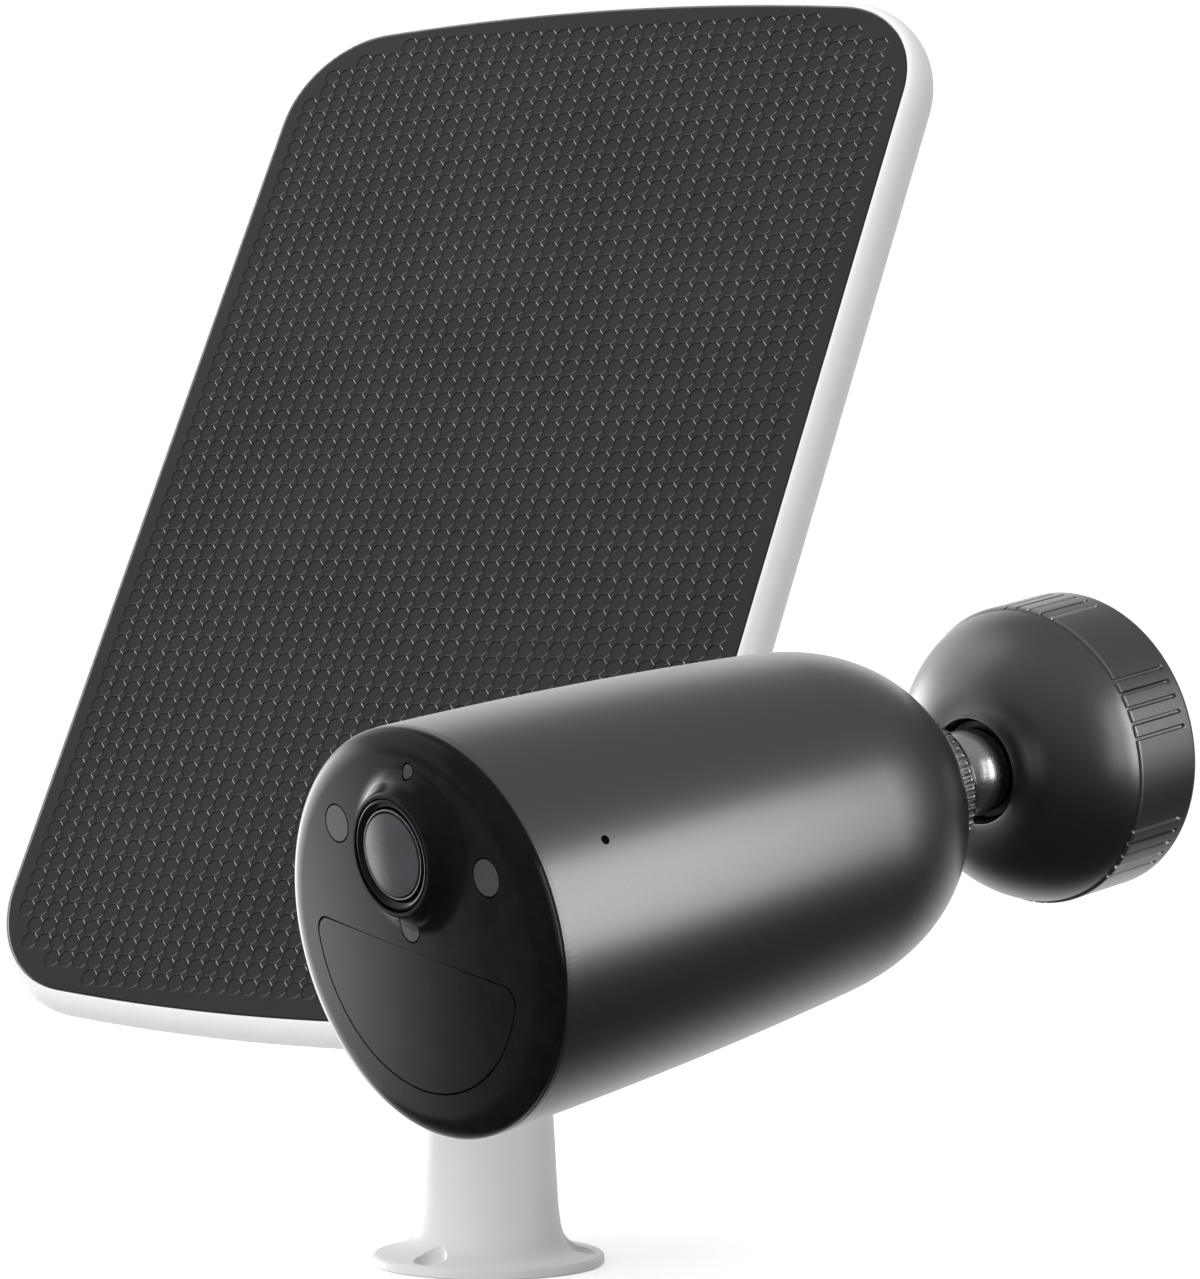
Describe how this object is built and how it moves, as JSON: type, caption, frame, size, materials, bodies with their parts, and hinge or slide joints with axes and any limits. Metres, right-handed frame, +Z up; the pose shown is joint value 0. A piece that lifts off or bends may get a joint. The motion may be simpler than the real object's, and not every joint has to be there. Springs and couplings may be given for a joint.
{
  "type": "solar-powered security camera",
  "caption": "Bullet battery camera on a ball mount with its solar panel on a tapering ball bracket; both units pan, tilt and turn.",
  "frame": {"origin": "centre of the panel bracket's base face", "axes": "+Z up along the panel bracket's stem; -Y towards the viewer the camera faces; +X to that viewer's right"},
  "size_m": [0.2227, 0.353, 0.2608],
  "materials": {
    "gunmetal": "satin metallic paint",
    "gloss_black": "gloss",
    "matte_black": "matte",
    "smoked_window": "gloss, smoked",
    "lens_glass": "polished, coated",
    "chrome": "polished",
    "steel": "satin",
    "brass": "turned",
    "white": "satin moulded",
    "white_metal": "white powder coat",
    "laminate": "embossed satin film",
    "rubber": "matte",
    "nylon": "satin",
    "board_green": "solder mask",
    "cell_wrap": "shrink wrap",
    "cable": "matte"
  },
  "bodies": {
    "stand": {"bracket_stem": "white_metal", "mount_base": "matte_black"},
    "camera": {"camera_shell": "gunmetal", "front_cover": "gloss_black", "pir_window": "gloss_black", "ir_window_left": "smoked_window", "ir_window_right": "smoked_window", "light_sensor_window": "smoked_window", "status_window": "smoked_window", "lens_ring": "matte_black", "lens_barrel": "matte_black", "lens_glass": "lens_glass", "image_sensor_board": "board_green", "face_seal": "rubber", "ir_led_left": "lens_glass", "ir_led_right": "lens_glass", "ir_board": "board_green", "pir_sensor": "steel", "main_board": "board_green", "battery_cell_left": "cell_wrap", "battery_cell_right": "cell_wrap", "battery_cradle": "matte_black", "speaker": "matte_black", "wifi_antenna": "steel", "tail_plug": "matte_black", "threaded_bush": "brass", "port_tray": "matte_black", "usb_socket": "steel"},
    "mount_cap": {"mount_cap": "gunmetal"},
    "ball_liner": {"ball_liner": "nylon"},
    "ball_stud": {"ball_stud": "chrome"},
    "lock_nut": {"lock_nut": "steel"},
    "port_cover": {"port_cover": "rubber"},
    "reset_button": {"reset_button": "rubber"},
    "clamp_collar": {"clamp_collar": "white"},
    "panel_ball_seat": {"panel_ball_seat": "nylon"},
    "panel_stud": {"panel_stud": "steel"},
    "panel_nut": {"panel_nut": "steel"},
    "panel": {"solar_laminate": "laminate", "panel_frame": "white", "panel_back": "white", "panel_insert": "brass", "charge_board": "board_green", "strain_relief": "rubber", "charging_lead": "cable", "charging_plug": "rubber", "back_screw_1": "steel", "back_screw_2": "steel", "back_screw_3": "steel", "back_screw_4": "steel"}
  },
  "joints": [
    {"name": "mount_cap_turn", "type": "hinge", "parent": "stand", "child": "mount_cap", "pos_m": [0.0853, -0.1715, 0.1096], "axis": [-0.7149, -0.6801, -0.1625], "range_deg": [0, 180]},
    {"name": "camera_pan", "type": "hinge", "parent": "stand", "child": "ball_liner", "pos_m": [0.0853, -0.1715, 0.1096], "axis": [-0.7149, -0.6801, -0.1625], "continuous": true},
    {"name": "camera_tilt", "type": "hinge", "parent": "ball_liner", "child": "ball_stud", "pos_m": [0.0853, -0.1715, 0.1096], "axis": [0.2822, -0.068, -0.9569], "range_deg": [-30, 25]},
    {"name": "camera_roll", "type": "hinge", "parent": "ball_stud", "child": "camera", "pos_m": [0.0853, -0.1715, 0.1096], "axis": [-0.7608, -0.6236, -0.18], "range_deg": [-90, 90]},
    {"name": "lock_nut_turn", "type": "hinge", "parent": "ball_stud", "child": "lock_nut", "pos_m": [0.0853, -0.1715, 0.1096], "axis": [-0.7608, -0.6236, -0.18], "continuous": true},
    {"name": "port_cover_open", "type": "hinge", "parent": "camera", "child": "port_cover", "pos_m": [0.05036, -0.19326, 0.07266], "axis": [-0.6486, 0.7401, 0.1776], "range_deg": [0, 110]},
    {"name": "reset_press", "type": "slide", "parent": "camera", "child": "reset_button", "axis": [-0.0225, -0.2518, 0.9675], "range_m": [0, 0.0006], "stiffness_N_per_m": 300},
    {"name": "clamp_collar_turn", "type": "hinge", "parent": "stand", "child": "clamp_collar", "pos_m": [0, 0, 0.11], "axis": [0, 0, 1], "range_deg": [0, 180]},
    {"name": "panel_swivel", "type": "hinge", "parent": "stand", "child": "panel_ball_seat", "pos_m": [0, 0, 0.11], "axis": [0, 0, 1], "range_deg": [-40, 60]},
    {"name": "panel_tilt", "type": "hinge", "parent": "panel_ball_seat", "child": "panel_stud", "pos_m": [0, 0, 0.11], "axis": [0.841, -0.541, 0], "range_deg": [-60, 0]},
    {"name": "panel_roll", "type": "hinge", "parent": "panel_stud", "child": "panel", "pos_m": [0, 0, 0.11], "axis": [-0.4685, -0.7284, 0.5], "range_deg": [-30, 90]},
    {"name": "panel_nut_turn", "type": "hinge", "parent": "panel_stud", "child": "panel_nut", "pos_m": [0, 0, 0.11], "axis": [-0.4685, -0.7284, 0.5], "continuous": true}
  ]
}
